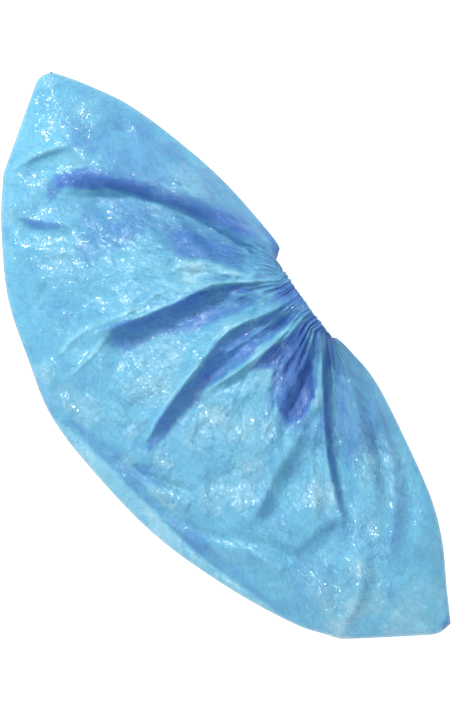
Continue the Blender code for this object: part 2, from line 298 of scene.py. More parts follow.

# Patches where the film is finely crumpled and glints, and where its colour gets painted light
Glint = namedtuple("Glint", "x y reach strength")
GLINTS = (
    Glint(-47, 0, 7, 1.0),
    Glint(-139, 2, 8, 0.6),
    Glint(-121, -16, 6, 0.5),
    Glint(-78, 8, 14, 0.4),
    Glint(-84, 22, 8, 0.4),
    Glint(-120, -54, 5, 0.5),
    Glint(-90, -48, 10, 0.5),
    Glint(-162, -3, 5, 0.3),
    Glint(-33, 2, 4, 0.8),
    Glint(-21, -31, 6, 0.9),
    Glint(-19, -42, 8, 1.0),
    Glint(-11, -48, 7, 1.1),
    Glint(-16, -56, 6, 0.8),
    Glint(-2, -66, 4, 0.5),
    Glint(-10, 9, 4, 0.7),
    Glint(8, 13, 3, 0.6),
    Glint(16, 3, 6, 1.1),
    Glint(7, -30, 5, 1.2),
    Glint(17, -31, 6, 1.1),
    Glint(14, -37, 4, 0.9),
    Glint(18, -45, 7, 0.9),
    Glint(30, -29, 6, 0.7),
    Glint(29, -20, 5, 0.8),
    Glint(36, -15, 5, 0.8),
    Glint(38, 12, 4, 0.9),
    Glint(45, -31, 5, 1.1),
    Glint(51, -37, 6, 0.9),
    Glint(57, -44, 5, 1.2),
    Glint(47, -52, 6, 0.9),
    Glint(48, -60, 5, 0.7),
    Glint(20, -65, 4, 0.9),
    Glint(34, -70, 6, 0.9),
    Glint(9, -80, 4, 0.9),
    Glint(-22, -81, 6, 1.1),
    Glint(-50, -86, 5, 0.9),
    Glint(-35, -85, 7, 0.6),
    Glint(61, 11, 4, 0.8),
    Glint(78, 15, 6, 0.9),
    Glint(84, 23, 8, 0.8),
    Glint(97, 14, 6, 0.5),
    Glint(81, -10, 6, 1.1),
    Glint(75, -15, 7, 0.8),
    Glint(104, -2, 6, 0.8),
    Glint(118, -19, 5, 1.0),
    Glint(131, -32, 5, 1.2),
    Glint(135, -44, 6, 1.3),
    Glint(118, -38, 12, 0.6),
    Glint(134, -22, 8, 0.5),
)

# Painted shade on the front wall: parts whose colour is drawn darker where it lies over more film
# and where it turns from the light, each with a depth from 0 to 1, or below 0 where it is painted
# lighter, and an outline with the width of its soft edge at each point
Edge = namedtuple("Edge", "x y soft")
PaintedShade = namedtuple("PaintedShade", "name depth edges")
PAINTED_SHADES = (
    PaintedShade("gathers", 0.20, (
        Edge(-44, 40, 8), Edge(46, 40, 10), Edge(92, 18, 16), Edge(40, -8, 14), Edge(22, 6, 16),
        Edge(-2, 16, 20), Edge(-30, 22, 12), Edge(-60, 2, 16), Edge(-112, -8, 16),
    )),
    PaintedShade("toe_pleat", 0.56, (
        Edge(-44, 35, 12), Edge(-58, 32, 7), Edge(-75, 20, 5), Edge(-95, 5, 7), Edge(-117, -12, 4),
        Edge(-123, -27, 3), Edge(-117, -29, 2), Edge(-113, -21, 1.5), Edge(-101, -8, 1.5),
        Edge(-79, 10, 1.5), Edge(-63, 20, 2), Edge(-46, 30, 4),
    )),
    PaintedShade("toe_pleat_core", 0.42, (
        Edge(-64, 24, 4), Edge(-96, 1, 4), Edge(-120, -19, 4), Edge(-118, -28, 3),
        Edge(-101, -8, 1.5), Edge(-79, 10, 1.5),
    )),
    PaintedShade("toe_top", 0.20, (
        Edge(-150, 8, 12), Edge(-100, 32, 10), Edge(-40, 44, 8), Edge(-50, 30, 8), Edge(-76, 18, 8),
        Edge(-100, 2, 10), Edge(-128, -14, 10), Edge(-140, -6, 12),
    )),
    PaintedShade("toe_tail", 0.30, (
        Edge(-123, -28, 3), Edge(-117, -27, 3), Edge(-114, -30, 2), Edge(-115, -36, 1.5),
        Edge(-124, -33, 1.5),
    )),
    PaintedShade("toe_streak", 0.40, (
        Edge(-101, -36, 2), Edge(-106, -40, 1.5), Edge(-118, -53, 2), Edge(-109, -50, 2),
        Edge(-103, -42, 2),
    )),
    PaintedShade("toe_panel", 0.20, (
        Edge(-106, -14, 4), Edge(-84, 0, 8), Edge(-56, 14, 10), Edge(-50, 2, 6), Edge(-74, -6, 6),
        Edge(-78, -26, 4), Edge(-76, -40, 4), Edge(-90, -38, 8), Edge(-100, -28, 6),
    )),
    PaintedShade("ridge_shade", 0.26, (
        Edge(-32, 20, 5), Edge(-44, 26, 8), Edge(-64, 12, 8), Edge(-72, 2, 6), Edge(-56, 0, 4),
        Edge(-46, 10, 2),
    )),
    PaintedShade("long_valley", 0.42, (
        Edge(-16, 20, 2), Edge(-28, 15, 1.5), Edge(-34, 8, 1.5), Edge(-37, -5, 1.5), Edge(-44, -36, 1.5),
        Edge(-48, -47, 2), Edge(-42, -54, 4), Edge(-34, -48, 6), Edge(-31, -30, 4), Edge(-22, -12, 3),
        Edge(-18, 6, 3),
    )),
    PaintedShade("long_valley_core", 0.18, (
        Edge(-30, 12, 3), Edge(-36, 0, 1.5), Edge(-42, -26, 1.5), Edge(-47, -45, 2), Edge(-40, -42, 5),
        Edge(-35, -14, 4), Edge(-32, 6, 2),
    )),
    PaintedShade("middle_valley", 0.42, (
        Edge(1, 27, 4), Edge(-7, 20, 3), Edge(-12, 4, 1.5), Edge(-13, -10, 1.5), Edge(-6, -27, 1.5),
        Edge(-2, -48, 1.5), Edge(7, -67, 1.5), Edge(12, -69, 2), Edge(10, -58, 2), Edge(6, -42, 3),
        Edge(3, -20, 2), Edge(2, 0, 1.5),
    )),
    PaintedShade("middle_valley_core", 0.14, (
        Edge(-6, 12, 3), Edge(-12, -4, 2), Edge(-6, -26, 3), Edge(-1, -50, 3), Edge(4, -46, 4),
        Edge(0, -20, 4),
    )),
    PaintedShade("heel_corner", 0.68, (
        Edge(5, 29, 2), Edge(12, 25, 3), Edge(18, 18, 3), Edge(17, 8, 3), Edge(25, -4, 3), Edge(32, -11, 3),
        Edge(14, 4, 3), Edge(9, -6, 2), Edge(6, 6, 1.5),
    )),
    PaintedShade("heel_bow", 0.72, (
        Edge(12, 25, 4), Edge(30, 18, 2), Edge(37, 12, 2), Edge(41, 3, 1.5), Edge(40, -6, 1.5),
        Edge(27, -4, 2), Edge(17, 8, 3),
    )),
    PaintedShade("heel_crease", 0.40, (
        Edge(13, 35, 2), Edge(30, 23, 2), Edge(54, 9, 3), Edge(78, -3, 3), Edge(94, -9, 2),
        Edge(86, -10, 1.5), Edge(70, -3, 1.5), Edge(50, 9, 1.2), Edge(30, 21, 1.2),
    )),
    PaintedShade("heel_band", 0.06, (
        Edge(44, 34, 4), Edge(60, 29, 3), Edge(78, 20, 3), Edge(100, 8, 3), Edge(96, 6, 3),
        Edge(76, 15, 3), Edge(56, 24, 3),
    )),
    PaintedShade("heel_top", 0.18, (
        Edge(38, 40, 1.5), Edge(66, 34.5, 1.5), Edge(92, 25.5, 3), Edge(110, 13, 6), Edge(120, 3, 10),
        Edge(124, -6, 12), Edge(112, 3, 6), Edge(98, 15, 3), Edge(86, 25, 1.5), Edge(64, 33, 1.5),
    )),
    PaintedShade("side_patch", 0.04, (
        Edge(46, -2, 2), Edge(64, -11, 3), Edge(75, -20, 3), Edge(72, -28, 6), Edge(70, -42, 5),
        Edge(62, -36, 1.5), Edge(53, -20, 1.5),
    )),
    PaintedShade("side_band", 0.12, (
        Edge(90, -14, 5), Edge(104, -7, 6), Edge(102, -18, 4), Edge(96.5, -20, 2), Edge(97, -40, 2),
        Edge(91, -38, 3), Edge(90.5, -22, 1.5),
    )),
    PaintedShade("heel_arc", 0.12, (
        Edge(114, -12, 4), Edge(128, -20, 3), Edge(140, -36, 3), Edge(138, -44, 3), Edge(126, -26, 3),
    )),
    PaintedShade("heel_nub", 0.35, (
        Edge(160, 3.5, 2), Edge(167, 3, 1), Edge(167, -4, 1), Edge(162, -2, 2),
    )),
    PaintedShade("vee_shade", 0.22, (
        Edge(25, -64, 2), Edge(12, -79, 2), Edge(4, -82, 3), Edge(22, -81, 2), Edge(37, -66, 1.5),
        Edge(22, -75, 1.5),
    )),
    PaintedShade("sole_shade", 0.20, (
        Edge(-26, -90, 2), Edge(2, -81, 4), Edge(30, -80, 3), Edge(70, -69, 5), Edge(112, -62, 3),
        Edge(66, -77.5, 1.2), Edge(24, -85, 1.2), Edge(-4, -90, 1.2),
    )),
    PaintedShade("toe_shoulder", 0.40, (
        Edge(-44, 42, 3), Edge(-36, 43, 1.5), Edge(-25, 38, 1.5), Edge(-28, 35, 2),
        Edge(-36, 38.5, 2), Edge(-44, 39.5, 3),
    )),
    PaintedShade("hem_pocket", 0.40, (
        Edge(-16, 37, 2), Edge(-19, 29, 2), Edge(-14, 26, 2), Edge(-10, 30, 3), Edge(-9, 37, 3),
    )),
    PaintedShade("hem_middle", 0.06, (
        Edge(-15, 38, 2), Edge(1, 38, 2), Edge(1, 29, 3), Edge(-13, 28, 3),
    )),
    PaintedShade("hem_heel", 0.34, (
        Edge(4, 38, 3), Edge(13, 38, 2), Edge(31, 25, 2), Edge(28, 23, 2), Edge(14, 30, 3),
        Edge(6, 28, 3),
    )),
    PaintedShade("heel_second", 0.34, (
        Edge(15, 38, 1.5), Edge(20, 37, 1.5), Edge(31, 28, 2), Edge(27, 27, 2),
    )),
    PaintedShade("sole_strip", -0.24, (
        Edge(-38, -98, 2), Edge(-10, -90.5, 2), Edge(24, -85, 1.5), Edge(66, -78, 1.5), Edge(112, -63, 1.5),
        Edge(132, -53, 3), Edge(120, -70, 3), Edge(50, -100, 3),
    )),
    PaintedShade("heel_tip", -0.20, (
        Edge(138, 0, 14), Edge(146, 14, 6), Edge(161, 2, 3), Edge(170, -10, 3), Edge(150, -34, 3),
        Edge(140, -14, 10),
    )),
)

# Depth of the rest of the front wall, and of the back wall
BASE_DEPTH = 0.25
BACK_DEPTH = 0.4

# Painted highlights: lines along which the film's colour is drawn lighter, where a single layer of it
# catches the light
SHINE_FADE = 0.12
Shine = namedtuple("Shine", "x0 y0 x1 y1 x2 y2 width strength")
SHINES = (
    Shine(-14, 37, -25, 22, -32, 16, 2.2, 0.15),
    Shine(-30, 17, -44, 10, -53, 1, 2.6, 0.15),
    Shine(-52, 3, -47, -1, -43, -6, 6.0, 0.15),
    Shine(-8, 29, -13, 15, -18, -8, 3.6, 0.06),
    Shine(2, 32, 4, 12, 5, -8, 2.6, 0.19),
    Shine(5, -6, 4, -17, 4, -29, 1.8, 0.15),
    Shine(-4, 30, -5, 8, -5, -8, 1.2, 0.15),
    Shine(-15, 19, -30, 6, -34, -6, 1.2, 0.15),
    Shine(12, 33, 29, 22, 38, 14, 1.4, 0.16),
    Shine(38, 14, 58, -4, 90, -23, 2.6, 0.09),
    Shine(50, 8, 64, 0, 86, -12, 1.4, 0.11),
    Shine(-46, -12, -49, -38, -53, -54, 1.5, 0.15),
    Shine(-53, -52, -54, -64, -52, -77, 1.7, 0.14),
    Shine(-48, -48, -43, -60, -40, -79, 1.5, 0.15),
    Shine(-10, -20, -4, -44, 7, -67, 1.1, 0.17),
    Shine(-38, -6, -44, -30, -48, -46, 1.2, 0.12),
    Shine(-14, 4, -15, -8, -11, -20, 1.0, 0.14),
    Shine(112, -16, 128, -28, 138, -46, 1.6, 0.11),
    Shine(-131, -13, -136, -26, -139, -44, 1.2, 0.14),
    Shine(-124, -26, -118, -13, -100, -1, 1.0, 0.06),
    Shine(-112, -22, -100, -10, -80, 7, 1.4, 0.09),
    Shine(24, -62, 14, -74, 10, -79, 1.2, 0.11),
    Shine(10, -80, 26, -78, 46, -74, 1.4, 0.12),
    Shine(48, -4, 55, -22, 64, -38, 1.2, 0.10),
    Shine(-3, -56, -2, -66, -1, -80, 1.4, 0.10),
)

# Pleats that spread from the mouth: waves round one wall, the share of the way to the
# sole fold where they are full, how high, where they have faded out, and the seed. They
# start at the mouth with a share of their height, and painted shade darkens their valleys.
PLEAT_START = 0.5
PLEAT_SHADE = 0.30
Pleat = namedtuple("Pleat", "waves full height end seed")
FRONT_PLEATS = (
    Pleat(38, 0.03, 1.5, 0.15, 1),
    Pleat(21, 0.05, 1.9, 0.28, 2),
    Pleat(11, 0.13, 1.6, 0.55, 3),
)
BACK_PLEATS = (
    Pleat(27, 0.10, 4.6, 0.60, 5),
    Pleat(22, 0.40, 5.2, 1.25, 6),
)

# Detail of the film's surface, in repeats for each millimetre of the flat sheet
WARP_SCALE = 0.20
CREASE_SCALE = 0.11
FINE_CREASE_SCALE = 0.24
FACET_SCALE = 0.30
FINE_FACET_SCALE = 0.80
GRAIN_SCALE = 0.9
WRINKLE_SCALE = 0.10
MOTTLE_SCALE = 0.07
WIDE_FACET_SHADE_SCALE = 0.075
FACET_SHADE_SCALE = 0.19

# Camera: a pixel of the photo in millimetres, the photo's height in pixels, the place in its
# middle, and the directions to its right and its top
PIXEL = 0.484
PHOTO_HEIGHT = 712
PHOTO_MIDDLE = (-4.17, -10.72, 10)
PHOTO_RIGHT = Vector((0.5859, 0.8104, 0))
PHOTO_UP = Vector((-0.8104, 0.5859, 0))
CAMERA_DISTANCE = 2.0
SENSOR = 24


def ease(value):
    """A smooth step from 0 to 1 as the value goes from 0 to 1."""
    value = np.clip(value, 0.0, 1.0)
    return value * value * (3 - 2 * value)


def curve_points(stations, steps=8):
    """Points of a smooth curve through the stations."""
    stations = np.array(stations, float)
    ends = np.concatenate([stations[:1], stations, stations[-1:]])
    t = np.arange(steps)[:, None] / steps
    points = []
    for a, b, c, d in zip(ends, ends[1:], ends[2:], ends[3:]):
        square, cube = 2 * a - 5 * b + 4 * c - d, 3 * b - a - 3 * c + d
        points.append(0.5 * (2 * b + (c - a) * t + square * t**2 + cube * t**3))
    return np.concatenate([*points, stations[-1:]])


class Route:
    """A line of points that can be read at any share of its length."""

    def __init__(self, points):
        self.points = points
        steps = np.linalg.norm(np.diff(points, axis=0), axis=1)
        self.reach = np.concatenate([[0.0], np.cumsum(steps)])

    def at(self, share):
        """The coordinates at a share of the length."""
        goal = np.asarray(share) * self.reach[-1]
        return [np.interp(goal, self.reach, values) for values in self.points.T]

    def nearest(self, x, y):
        """Distance, distance to the line's left and share of its length, of the nearest place."""
        away = np.full(np.shape(x), np.inf)
        left = np.zeros(np.shape(x))
        share = np.zeros(np.shape(x))
        for start, end, reach in zip(self.points, self.points[1:], self.reach):
            run = end - start
            size = math.hypot(*run)
            if not size:
                continue
            over_x, over_y = x - start[0], y - start[1]
            t = np.clip((over_x * run[0] + over_y * run[1]) / size**2, 0, 1)
            here = np.hypot(over_x - t * run[0], over_y - t * run[1])
            side = np.where(run[0] * over_y - run[1] * over_x < 0, -here, here)
            nearer = here < away
            away = np.where(nearer, here, away)
            left = np.where(nearer, side, left)
            share = np.where(nearer, (reach + t * size) / self.reach[-1], share)
        return away, left, share


toe_seam = Route(curve_points(TOE_SEAM))
heel_seam = Route(curve_points(HEEL_SEAM))
sole_fold = Route(curve_points(SOLE_FOLD))
outline = Route(np.concatenate([toe_seam.points, sole_fold.points, heel_seam.points[::-1]]))
shoulders = Route(outline.points[SHOULDER_POINTS:-SHOULDER_POINTS])


def mouth_oval():
    """The mouth's oval in X and Z, from its toe end over the top and back underneath."""
    turn = np.linspace(0, math.tau, 481)
    x = MOUTH_X - MOUTH_HALF_WIDTH * np.cos(turn)
    z = MOUTH_Z + MOUTH_HALF_HEIGHT * np.sin(turn)
    return Route(np.stack([x, z], axis=1))


mouth = mouth_oval()


def mouth_place(share):
    """Place on the mouth's oval, and its outward direction there."""
    x, z = mouth.at(share)
    across = (x - MOUTH_X) / MOUTH_HALF_WIDTH**2
    up = (z - MOUTH_Z) / MOUTH_HALF_HEIGHT**2
    size = np.hypot(across, up)
    return x, z, across / size, up / size


def folds_height(folds, x, y):
    """Height that the folds add to a wall."""
    total = np.zeros(np.shape(x))
    for fold in folds:
        route = Route(curve_points([fold[1:3], fold[3:5], fold[5:7], fold[7:9]]))
        _, offset, share = route.nearest(x, y)
        rise = np.clip(1 + offset / fold.lead, 0, 1)
        climb = fold.crest * (ease(rise) if fold.bend > 1 else rise**2)
        fall = np.clip(offset / fold.steep, 0, 1)
        fall = fall**fold.bend if fold.bend >= 1 else 1 - (1 - fall) ** (1 / fold.bend)
        drop = fold.crest - (fold.crest + fold.dip) * fall
        level = -fold.dip * ease(1 - (offset - fold.steep) / fold.back)
        height = np.where(offset < 0, climb, np.where(offset < fold.steep, drop, level))
        total += height * ease(share / FOLD_FADE_IN) * ease((1 - share) / FOLD_FADE_OUT)
    return total


def creases_height(x, y):
    """Height that the creases add to the front wall."""
    total = np.zeros(np.shape(x))
    for crease in CREASES:
        route = Route(curve_points([crease[0:2], crease[2:4], crease[4:6]]))
        away, _, share = route.nearest(x, y)
        sharp = np.clip(1 - away / crease.width, 0, 1) ** 1.5
        ends = ease(share / CREASE_FADE_IN), ease((1 - share) / CREASE_FADE_OUT)
        total += crease.height * sharp * ends[0] * ends[1]
    return total


def crinkle(x, y):
    """How finely crumpled the film is, from a calm share upwards."""
    total = np.full(np.shape(x), CALM)
    for glint in GLINTS:
        away = np.hypot(x - glint.x, y - glint.y) / glint.reach
        total += glint.strength * np.exp(-(away**2))
    return np.minimum(total, MOST_CRINKLE)


def inside_share(edges, x, y):
    """How far each place is inside an outline with soft edges, from 0 to 1."""
    corners = np.array(edges, float)
    away = np.full(np.shape(x), np.inf)
    soft = np.ones(np.shape(x))
    inside = np.zeros(np.shape(x), bool)
    for start, end in zip(corners, np.roll(corners, -1, axis=0)):
        run = end - start
        over_x, over_y = x - start[0], y - start[1]
        t = np.clip((over_x * run[0] + over_y * run[1]) / (run[0] ** 2 + run[1] ** 2), 0, 1)
        here = np.hypot(over_x - t * run[0], over_y - t * run[1])
        nearer = here < away
        away = np.where(nearer, here, away)
        soft = np.where(nearer, start[2] + t * run[2], soft)
        if run[1]:
            beside = over_x < over_y * run[0] / run[1]
            inside ^= ((start[1] > y) != (end[1] > y)) & beside
    return ease(0.5 + np.where(inside, away, -away) / soft)


def shade_depth(x, y):
    """Painted shade of the film's colour, from 0 in the brightest places to 1 in the deepest folds, with
    painted highlights along the crests.
    """
    light = np.ones(np.shape(x))
    # Painted shade: each darker part multiplies the light that is left in the colour
    for painted_part in PAINTED_SHADES:
        light *= 1 - painted_part.depth * inside_share(painted_part.edges, x, y)
    depth = 1 - (1 - BASE_DEPTH) * light
    for shine in SHINES:
        route = Route(curve_points([shine[0:2], shine[2:4], shine[4:6]]))
        away, _, share = route.nearest(x, y)
        ends = ease(share / SHINE_FADE) * ease((1 - share) / SHINE_FADE)
        depth -= shine.strength * ease(1.5 - 1.5 * away / shine.width) * ends
    return depth


def crumple_height(across, down, crumple, seed_shift):
    """Height of a sheet creased into flat facets, from knots scattered on a rough grid."""
    random = np.random.default_rng(crumple.seed + seed_shift)
    low_x, low_y = across.min() - 2 * crumple.spacing, down.min() - 2 * crumple.spacing
    columns = int((across.max() - low_x) / crumple.spacing) + 3
    rows = int((down.max() - low_y) / crumple.spacing) + 3
    knots = {}
    for column in range(columns):
        for row in range(rows):
            shift = random.uniform(-0.38, 0.38, 2)
            knots[column, row] = Vector((
                low_x + (column + 0.5 * (row % 2) + shift[0]) * crumple.spacing,
                low_y + (row + shift[1]) * crumple.spacing,
                random.uniform(-1, 1) * crumple.height,
            ))
    index = {key: number for number, key in enumerate(knots)}
    faces = []
    for column in range(columns - 1):
        for row in range(rows - 1):
            a, b = index[column, row], index[column + 1, row]
            c, d = index[column, row + 1], index[column + 1, row + 1]
            faces += [(a, b, c), (b, d, c)] if row % 2 else [(a, b, d), (a, d, c)]
    tree = BVHTree.FromPolygons(list(knots.values()), faces)
    down_ray = Vector((0, 0, -1))
    heights = np.zeros(across.size)
    for number, (px, py) in enumerate(zip(across.ravel(), down.ravel())):
        hit = tree.ray_cast(Vector((px, py, 50)), down_ray)[0]
        heights[number] = hit.z if hit else 0
    return heights.reshape(across.shape)


def turned_edge(edge):
    """Height that the film gains where it turns round at the cover's edge."""
    return TURN_RADIUS * np.sqrt(1 - (1 - np.clip(edge / TURN_RADIUS, 0, 1)) ** 2)


def least_front(edge):
    """Lowest height of the front wall, over the turned edge and the hollow that stays open."""
    return TURN_RADIUS + turned_edge(edge) + LEAST_HOLLOW * (1 - np.exp(-edge / PUFF_REACH))


def front_wall(x, y, edge):
    """Height of the front wall's outer skin over the floor, without its folds."""
    from_mouth = np.hypot(x - MOUTH_X, y - (HEM_TOP_Y - HEM_DEPTH))
    crown = BODY_HEIGHT + MOUTH_PUFF * np.exp(-((from_mouth / MOUTH_PUFF_REACH) ** 2))
    puff = 1 - np.exp(-edge / PUFF_REACH)
    return TURN_RADIUS + turned_edge(edge) + (crown - 2 * TURN_RADIUS) * puff


def back_wall(x, y, edge):
    """Height of the back wall's outer skin, which is flat on the floor between its folds."""
    folds = np.maximum(folds_height(BACK_FOLDS, x, y), 0) * ease(edge / FOLD_EDGE)
    return TURN_RADIUS - turned_edge(edge) + folds


def pucker_wave(share):
    """Puckers of the gathered hem, from 0 to 1, uneven from one to the next."""
    turn = math.tau * share
    place = share + 0.006 * np.sin(7 * turn + 0.6) + 0.004 * np.sin(17 * turn)
    place = place + 0.002 * np.sin(41 * turn)
    wide = 1 - np.abs(2 * (WIDE_PUCKERS * place % 1) - 1)
    fine = 1 - np.abs(2 * ((FINE_PUCKERS * place + 0.3 * np.sin(5 * turn)) % 1) - 1)
    uneven = 0.7 + 0.3 * np.sin(5 * turn + 1) * np.cos(3 * turn)
    return (0.6 * wide + 0.4 * fine) * uneven


def pleats_height(pleats, share, row):
    """Height of the sharp pleats in the gathered film, and how deep in a valley each place is, for the
    painted shade.
    """
    total = np.zeros(np.broadcast(share, row).shape)
    furrow = np.zeros(total.shape)
    turn = math.tau * share
    for pleat in pleats:
        wander = np.sin(5.3 * turn + pleat.seed) + np.sin(3.7 * turn + 4.1 * row + 2 * pleat.seed)
        wave = pleat.waves * share + 0.3 * wander
        tent = 1 - np.abs(2 * (wave % 1) - 1)
        uneven = 0.55 + 0.45 * np.sin(2.3 * turn + 5 * pleat.seed + 3 * row)
        fade = PLEAT_START + (1 - PLEAT_START) * ease(row / pleat.full)
        fade = fade * ease((pleat.end - row) / (pleat.end - pleat.full))
        total += pleat.height * tent**1.2 * uneven * fade
        furrow += (0.5 - tent) * uneven * fade
    return total, furrow


def pucker_shade(wave, x):
    """Shade of the puckers, which are deepest near the middle of the mouth."""
    near = np.exp(-(((x - PUCKER_SHADE_X) / PUCKER_SHADE_REACH) ** 2))
    return (0.5 - wave) * (LEAST_PUCKER_SHADE + (1 - LEAST_PUCKER_SHADE) * near)


def hem_share(x):
    """Height of the hem as a share of its full depth: it runs out at both ends of the mouth."""
    away = MOUTH_HALF_WIDTH - np.abs(x - MOUTH_X)
    return 1 - HEM_END_SHARE * np.exp(-((away / HEM_END) ** 2))


def mouth_shares():
    """Shares of the mouth's oval where the columns start: half of it for each wall."""
    front = np.arange(FRONT_COLUMNS) / FRONT_COLUMNS
    back = np.arange(BACK_COLUMNS) / BACK_COLUMNS
    return np.concatenate([front, 1 + back]) / 2


def sole_shares():
    """Shares of the sole fold where the columns end, closest together midway along it."""
    steps = np.linspace(0, 1, FRONT_COLUMNS + 1)
    middle = steps + MIDWAY_CROWDING * np.sin(math.tau * steps)
    tips = np.sin(math.pi * steps) * np.cos(math.pi * steps) * np.exp(-TIP_DECAY * steps * (1 - steps))
    there = middle - TIP_CROWDING * tips
    return np.concatenate([there, there[-1 - FINENESS : 0 : -FINENESS]])


def wall_rows():
    """Shares of the way from the hem's foot to the sole fold, closest at both ends."""
    steps = np.linspace(0, 1, WALL_ROWS)
    return steps - ROW_CROWDING * np.sin(math.tau * steps) * (1 - 0.3 * steps)


def hem_rings():
    """Rings of the folded hem, from its loose edge inside the mouth over its top.

    Each point has its place, its place on the flat sheet, its shade and its crinkle.
    """
    radius = HEM_THICKNESS / 2
    share = mouth_shares()
    x, z, out_x, out_z = mouth_place(share)
    wave = pucker_wave(share)
    from_end = np.minimum(share % 0.5, 0.5 - share % 0.5)
    height = wave * (LEAST_PUCKER + (1 - LEAST_PUCKER) * ease(from_end / PUCKER_END_REACH))
    in_front = share < 0.5
    flat_x = FLAT_WIDTH * sole_shares()
    turn = np.linspace(0, math.pi, HEM_TURN_STEPS)
    path = [(HEM_THICKNESS, down) for down in HEM_INSIDE_DOWN]
    path += [(radius * (1 + math.cos(angle)), radius * (1 - math.sin(angle))) for angle in turn]
    path += HEM_OUTSIDE
    pleats, furrows = pleats_height(FRONT_PLEATS, sole_shares(), 0)
    rings = []
    for inward, down in path:
        side = 1 - 2 * inward / HEM_THICKNESS
        pucker = PUCKER_OUTSIDE if side > 0 else PUCKER_INSIDE
        out = pucker * side * height - inward
        notch = PUCKER_NOTCH * (1 - wave) * max(0, 1 - down / NOTCH_REACH)
        along = down if side > 0 else -2 * HEM_THICKNESS - down
        flat_y = np.full(x.shape, along - HEM_DEPTH)
        y = HEM_TOP_Y - (down * hem_share(x) if side > 0 else down) - notch
        edge = outline.nearest(x, y)[0]
        folds = HEM_FOLDS * folds_height(FRONT_FOLDS, x, y) * ease(edge / FOLD_EDGE)
        folds = (folds + pleats * ease(edge / PLEAT_EDGE)) * in_front * max(0, side)
        # Painted shade of the colour: the darker parts, the pleats' valleys and the puckers' valleys
        depth = np.where(in_front, shade_depth(x, y) + PLEAT_SHADE * furrows, BACK_DEPTH)
        shade = depth + pucker_shade(wave, x)
        place = (x + out_x * out, y, z + out_z * out + folds)
        rings.append(np.stack([*place, flat_x, flat_y, shade, crinkle(x, y)], axis=1))
    return rings


def wall_rings():
    """Rings of the two walls, from the hem's foot to the sole fold."""
    mouth_share = mouth_shares()
    x0, z0, out_x, out_z = mouth_place(mouth_share)
    share = sole_shares()
    wave = pucker_wave(mouth_share)
    y0 = HEM_TOP_Y - HEM_DEPTH * hem_share(x0)
    end_x, end_y = sole_fold.at(share)
    pulls = ((toe_seam, (1 - share) ** SEAM_PULL), (heel_seam, share**SEAM_PULL))
    rows = wall_rows()
    xs, ys = [], []
    for row in rows:
        x = x0 + (end_x - x0) * row
        y = y0 + (end_y - y0) * row
        for seam, weight in pulls:
            straight = seam.points[0] + (seam.points[-1] - seam.points[0]) * row
            bulge = seam.at(row) - straight
            x, y = x + weight * bulge[0], y + weight * bulge[1]
        xs.append(x)
        ys.append(y)
    x, y = np.array(xs), np.array(ys)
    row = rows[:, None]
    edge = outline.nearest(x, y)[0]
    flat_x = np.broadcast_to(share * FLAT_WIDTH, x.shape)
    flat_y = np.broadcast_to(row * FLAT_HEIGHT, x.shape)
    fine = crinkle(x, y)
    layers = np.zeros((len(CRUMPLES), *x.shape))
    for layer, crumple in zip(layers, CRUMPLES):
        for side, shift in ((FRONT, 0), (~FRONT, 100)):
            layer[:, side] = crumple_height(flat_x[:, side], flat_y[:, side], crumple, shift)
    small = layers[2] + layers[3]
    crumpled = np.where(FRONT, np.minimum(fine, MOST_CRUMPLED), BACK_CRUMPLE)
    crumples = layers[0] + layers[1] + small * crumpled
    from_mouth = CRUMPLE_LEAST + (1 - CRUMPLE_LEAST) * ease(row / CRUMPLE_START)
    crumples *= from_mouth * ease(edge / CRUMPLE_EDGE)
    blend = ease(row / MOUTH_BLEND)

    crown = front_wall(x, y, shoulders.nearest(x, y)[0])
    folds = folds_height(FRONT_FOLDS, x, y) * ease(edge / FOLD_EDGE)
    folds = folds + creases_height(x, y) * ease(edge / CREASE_EDGE)
    pleats, furrows = pleats_height(FRONT_PLEATS, share, row)
    details = (folds + crumples) * (FOLD_LEAST + (1 - FOLD_LEAST) * ease(row / FOLD_START))
    details = details + pleats * ease(edge / PLEAT_EDGE)
    top = np.maximum(z0 + (crown - z0) * blend + details, least_front(edge) * blend)

    pleats, _ = pleats_height(BACK_PLEATS, share, row)
    pleats = pleats * ease(row / BACK_PLEAT_START) * ease(edge / BACK_PLEAT_EDGE)
    low = back_wall(x, y, edge) + np.abs(crumples) + pleats
    low = np.minimum(low, TURN_RADIUS + MOST_BACK_RISE * (crown - TURN_RADIUS))
    low = z0 + (low - z0) * blend

    lift = wave * PUCKER_OUTSIDE * (1 - ease(row / PUCKER_END))
    x = x + out_x * lift * (1 - blend)
    z = np.where(FRONT, top, low) + lift * out_z

    # The crumples make the edges of the painted darker parts ragged
    ragged = ease(row / RAGGED_START)
    seen_x = x + ragged * (0.6 * layers[1] + 0.9 * layers[2])
    seen_y = y + ragged * (0.8 * layers[2] - 0.5 * layers[1])
    # Painted shade from the darker parts and the pleats' valleys, and painted light where the film glints
    shade = shade_depth(seen_x, seen_y) + PLEAT_SHADE * furrows - PAINTED_CRINKLE_LIGHT * (fine - CALM)
    shade = shade + pucker_shade(wave, x0) * (1 - ease(row / PUCKER_SHADE_END))
    shade = np.where(FRONT, shade, BACK_DEPTH)
    return [np.stack(ring, axis=1) for ring in zip(x, y, z, flat_x, flat_y, shade, fine)]


def to_metres(point):
    """The point in the frame's own place, just over the floor at the least."""
    x, y = point[0] - BOX_MIDDLE_X, point[1] - BOX_MIDDLE_Y
    return x * MM, y * MM, max(point[2], LEAST_Z) * MM


